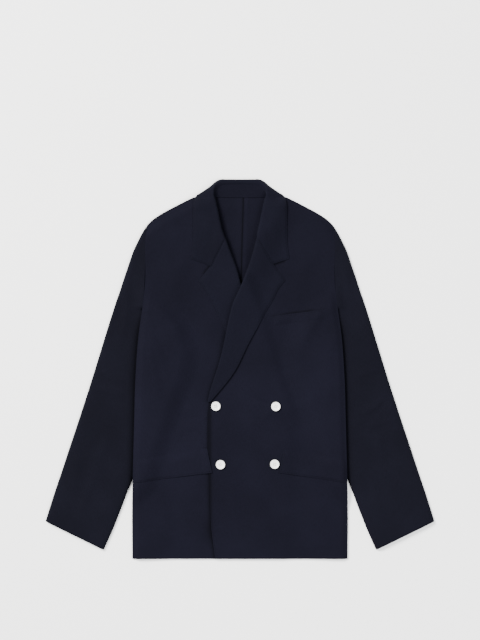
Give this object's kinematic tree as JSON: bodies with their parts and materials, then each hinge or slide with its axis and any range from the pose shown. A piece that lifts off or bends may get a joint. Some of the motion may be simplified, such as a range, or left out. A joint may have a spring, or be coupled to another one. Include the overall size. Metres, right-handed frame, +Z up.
{
  "type": "double breasted blazer",
  "caption": "Dark blue double breasted blazer with notched lapels, flap pockets, a breast pocket and white buttons, laid flat on its back with its sleeves at its sides.",
  "frame": {"origin": "centre of the garment's length and width, on the surface that it lies on", "axes": "+X to the viewer's right, which is the wearer's left; +Y from the hem to the collar; +Z up from the surface"},
  "size_m": [0.8132, 0.7937, 0.0221],
  "materials": {
    "body_cloth": "matte woven cloth",
    "sleeve_cloth": "matte woven cloth",
    "lapel_cloth": "matte woven cloth",
    "button_white": "satin"
  },
  "bodies": {
    "root": {"back_left": "body_cloth", "back_right": "body_cloth", "front_left": "body_cloth", "front_right": "body_cloth", "lapel_left": "lapel_cloth", "lapel_right": "lapel_cloth", "collar_fall": "lapel_cloth", "collar_stand": "body_cloth", "topsleeve_left": "sleeve_cloth", "topsleeve_right": "sleeve_cloth", "undersleeve_left": "sleeve_cloth", "undersleeve_right": "sleeve_cloth", "flap_left": "body_cloth", "flap_right": "body_cloth", "breast_welt": "body_cloth", "button_1": "button_white", "button_2": "button_white", "button_3": "button_white", "button_4": "button_white"}
  },
  "joints": []
}
